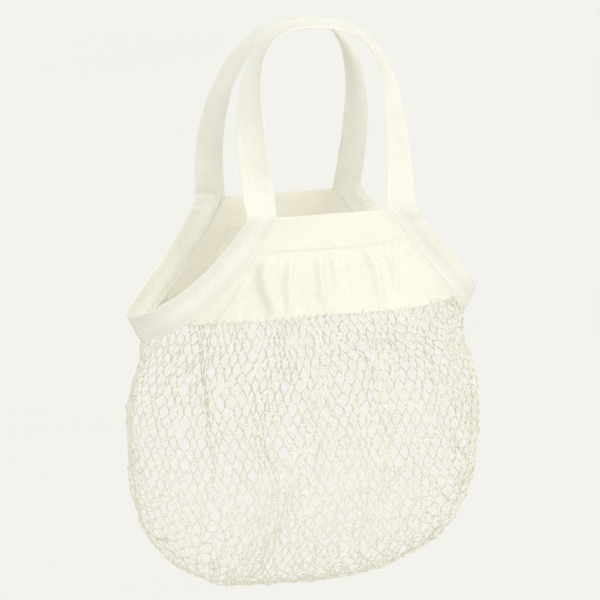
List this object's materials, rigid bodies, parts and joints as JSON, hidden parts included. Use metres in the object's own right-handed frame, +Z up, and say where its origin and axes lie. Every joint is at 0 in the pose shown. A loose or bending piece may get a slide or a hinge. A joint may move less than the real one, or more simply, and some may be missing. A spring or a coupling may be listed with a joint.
{
  "type": "mesh produce bag",
  "caption": "Knotless cotton net shopping bag with gathered cloth yokes, a webbing binding and two hinged webbing handles, in its filled, hanging shape.",
  "frame": {"origin": "the hang point, midway between the crowns of the two handles where they lean together, at the height of the webbing's middle", "axes": "+Z up along the hanging bag, +X to the right and -Y towards the viewer as one faces the front yoke; the handles fold down to -Y and +Y"},
  "size_m": [0.3827, 0.2236, 0.5788],
  "materials": {
    "net_yarn": "matte unbleached cotton yarn",
    "yoke_cotton": "plain-woven unbleached cotton",
    "webbing": "herringbone cotton webbing",
    "thread": "cotton sewing thread"
  },
  "bodies": {
    "bag": {"front_net": "net_yarn", "back_net": "net_yarn", "net_seam": "thread", "front_yoke": "yoke_cotton", "back_yoke": "yoke_cotton", "front_hem": "yoke_cotton", "back_hem": "yoke_cotton", "front_yoke_seam": "thread", "back_yoke_seam": "thread", "front_left_binding": "webbing", "front_right_binding": "webbing", "back_left_binding": "webbing", "back_right_binding": "webbing", "front_hem_stitches": "thread", "back_hem_stitches": "thread", "front_binding_stitches": "thread", "back_binding_stitches": "thread"},
    "front_handle": {"front_handle": "webbing"},
    "back_handle": {"back_handle": "webbing"}
  },
  "joints": [
    {"name": "front_handle_fold", "type": "hinge", "parent": "bag", "child": "front_handle", "pos_m": [0, -0.06905, -0.185], "axis": [1, 0, 0], "range_deg": [0, 160]},
    {"name": "back_handle_fold", "type": "hinge", "parent": "bag", "child": "back_handle", "pos_m": [0, 0.06905, -0.185], "axis": [-1, 0, 0], "range_deg": [0, 160]}
  ]
}
